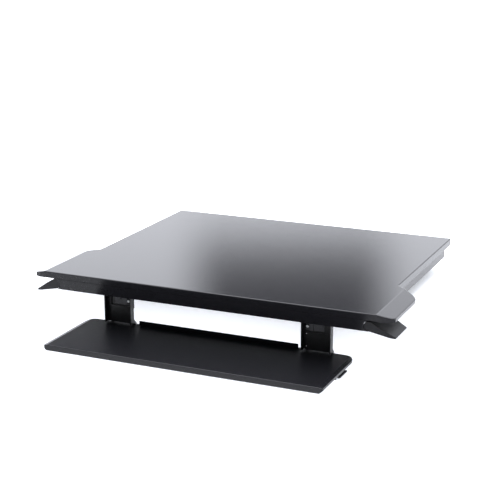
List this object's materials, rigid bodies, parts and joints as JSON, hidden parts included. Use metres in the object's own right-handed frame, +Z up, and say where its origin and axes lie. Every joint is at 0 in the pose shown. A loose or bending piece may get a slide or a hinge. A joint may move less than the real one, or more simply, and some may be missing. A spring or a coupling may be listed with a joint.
{
  "type": "standing desk converter",
  "caption": "Desktop sit-stand riser: worksurface on a scissor lift with squeeze levers under its wings, and a keyboard tray hung on uprights in front.",
  "frame": {"origin": "centre of the front foot strip's underside, on the desktop that the converter stands on", "axes": "+X to the user's right along the worksurface's width, +Y from the user to the back of the desk, +Z up"},
  "size_m": [0.9096, 0.8085, 0.167],
  "materials": {
    "laminate_black": "satin black laminate on board",
    "fascia_black": "satin moulded",
    "plastic_black": "fine moulded texture",
    "steel_black": "black powder coat",
    "spring_black": "gloss black paint",
    "steel_grey": "dark grey powder coat",
    "steel_zinc": "bright zinc",
    "steel_polished": "ground and chromed",
    "nylon_white": "natural nylon",
    "rubber_black": "matte",
    "cable_black": "black cable sheath"
  },
  "bodies": {
    "base": {"base_rail_left": "steel_black", "base_rail_right": "steel_black", "base_cross_plate_front": "steel_black", "base_cross_plate_rear": "steel_black", "foot_strip_front": "rubber_black", "foot_strip_rear": "rubber_black"},
    "outer_arms": {"outer_arm_left": "steel_grey", "outer_arm_right": "steel_grey", "upper_roller_shaft": "steel_zinc", "middle_pivot_pin_left": "steel_zinc", "middle_pivot_pin_right": "steel_zinc"},
    "upper_rollers": {"upper_roller_left": "nylon_white", "upper_roller_right": "nylon_white"},
    "inner_arms": {"inner_arm_left": "steel_grey", "inner_arm_right": "steel_grey", "torsion_tube": "steel_zinc", "crank_left": "steel_grey", "crank_right": "steel_grey", "lower_roller_shaft": "steel_zinc"},
    "lower_rollers": {"lower_roller_left": "nylon_white", "lower_roller_right": "nylon_white"},
    "platform": {"worksurface": "laminate_black", "front_fascia": "fascia_black", "side_skirt_left": "steel_black", "side_skirt_right": "steel_black", "rear_skirt": "steel_black", "platform_rail_left": "steel_grey", "platform_rail_right": "steel_grey", "platform_cross_plate_front": "steel_grey", "platform_cross_plate_rear": "steel_grey", "gas_spring_rod_left": "steel_polished", "gas_spring_rod_right": "steel_polished", "spring_bracket_left": "steel_grey", "spring_bracket_right": "steel_grey", "lever_bracket_left": "steel_grey", "lever_bracket_right": "steel_grey", "lever_pin_left": "steel_zinc", "lever_pin_right": "steel_zinc", "release_cable_left": "cable_black", "release_cable_right": "cable_black", "upright_sleeve_left": "steel_black", "upright_sleeve_right": "steel_black", "height_clamp_left": "steel_grey", "height_clamp_right": "steel_grey"},
    "gas_cylinder_left": {"gas_spring_cylinder_left": "spring_black"},
    "gas_cylinder_right": {"gas_spring_cylinder_right": "spring_black"},
    "rocker_left": {"release_rocker_left": "steel_zinc"},
    "rocker_right": {"release_rocker_right": "steel_zinc"},
    "lever_left": {"lift_lever_left": "plastic_black"},
    "lever_right": {"lift_lever_right": "plastic_black"},
    "tray_frame": {"upright_left": "steel_black", "upright_right": "steel_black", "tilt_hinge_rod": "steel_zinc"},
    "tray": {"keyboard_tray": "laminate_black", "tray_hinge_leaf_left": "steel_black", "tray_hinge_leaf_right": "steel_black", "paddle_bracket": "steel_grey", "bar_guide": "nylon_white"},
    "paddle": {"tilt_paddle": "steel_black"},
    "release_bar": {"tilt_release_bar": "steel_zinc"}
  },
  "joints": [
    {"name": "lift_lower_pivot", "type": "hinge", "parent": "base", "child": "outer_arms", "pos_m": [0, 0.43, 0.0185], "axis": [-1, 0, 0], "range_deg": [0, 60]},
    {"name": "upper_roller_spin", "type": "hinge", "parent": "outer_arms", "child": "upper_rollers", "pos_m": [0, 0.00095, 0.047], "axis": [1, 0, 0], "continuous": true},
    {"name": "lift_middle_pivot", "type": "hinge", "parent": "outer_arms", "child": "inner_arms", "pos_m": [0, 0.21547, 0.03275], "axis": [1, 0, 0], "range_deg": [0, 120]},
    {"name": "lower_roller_spin", "type": "hinge", "parent": "inner_arms", "child": "lower_rollers", "pos_m": [0, 0.00095, 0.0185], "axis": [1, 0, 0], "continuous": true},
    {"name": "lift_upper_pivot", "type": "hinge", "parent": "inner_arms", "child": "platform", "pos_m": [0, 0.43, 0.047], "axis": [-1, 0, 0], "range_deg": [0, 60]},
    {"name": "gas_spring_stroke_left", "type": "slide", "parent": "platform", "child": "gas_cylinder_left", "axis": [0, 1, 0], "range_m": [0, 0.0301]},
    {"name": "gas_spring_stroke_right", "type": "slide", "parent": "platform", "child": "gas_cylinder_right", "axis": [0, 1, 0], "range_m": [0, 0.0301]},
    {"name": "lift_lever_squeeze_left", "type": "hinge", "parent": "platform", "child": "lever_left", "pos_m": [-0.397, -0.131, 0.047], "axis": [0, 1, 0], "range_deg": [0, 12], "stiffness_Nm_per_rad": 4, "springref_deg": -8.59},
    {"name": "lift_lever_squeeze_right", "type": "hinge", "parent": "platform", "child": "lever_right", "pos_m": [0.397, -0.131, 0.047], "axis": [0, -1, 0], "range_deg": [0, 12], "stiffness_Nm_per_rad": 4, "springref_deg": -8.59},
    {"name": "release_rocker_swing_left", "type": "hinge", "parent": "platform", "child": "rocker_left", "pos_m": [-0.15, 0.254, 0.038], "axis": [1, 0, 0], "range_deg": [0, 7.6]},
    {"name": "release_rocker_swing_right", "type": "hinge", "parent": "platform", "child": "rocker_right", "pos_m": [0.15, 0.254, 0.038], "axis": [1, 0, 0], "range_deg": [0, 7.6]},
    {"name": "tray_height_slide", "type": "slide", "parent": "platform", "child": "tray_frame", "axis": [0, 0, 1], "range_m": [-0.04, 0]},
    {"name": "tray_tilt", "type": "hinge", "parent": "tray_frame", "child": "tray", "pos_m": [0, -0.1015, -0.059], "axis": [1, 0, 0], "range_deg": [0, 12]},
    {"name": "tilt_paddle_squeeze", "type": "hinge", "parent": "tray", "child": "paddle", "pos_m": [0.322, -0.181, -0.072], "axis": [0, -1, 0], "range_deg": [0, 8]},
    {"name": "tilt_release_slide", "type": "slide", "parent": "tray", "child": "release_bar", "axis": [1, 0, 0], "range_m": [0, 0.0014], "stiffness_N_per_m": 1500, "springref_m": -0.003}
  ],
  "couplings": [
    {"joint": "lift_middle_pivot", "follows": "lift_lower_pivot", "ratio": 2},
    {"joint": "lift_upper_pivot", "follows": "lift_lower_pivot", "ratio": 1},
    {"joint": "gas_spring_stroke_left", "follows": "lift_lower_pivot", "m_per_rad": 0.02865},
    {"joint": "gas_spring_stroke_right", "follows": "lift_lower_pivot", "m_per_rad": 0.02865},
    {"joint": "release_rocker_swing_left", "follows": "lift_lever_squeeze_left", "ratio": 0.625},
    {"joint": "release_rocker_swing_right", "follows": "lift_lever_squeeze_right", "ratio": 0.625},
    {"joint": "tilt_paddle_squeeze", "follows": "tilt_release_slide", "rad_per_m": 99.733}
  ]
}
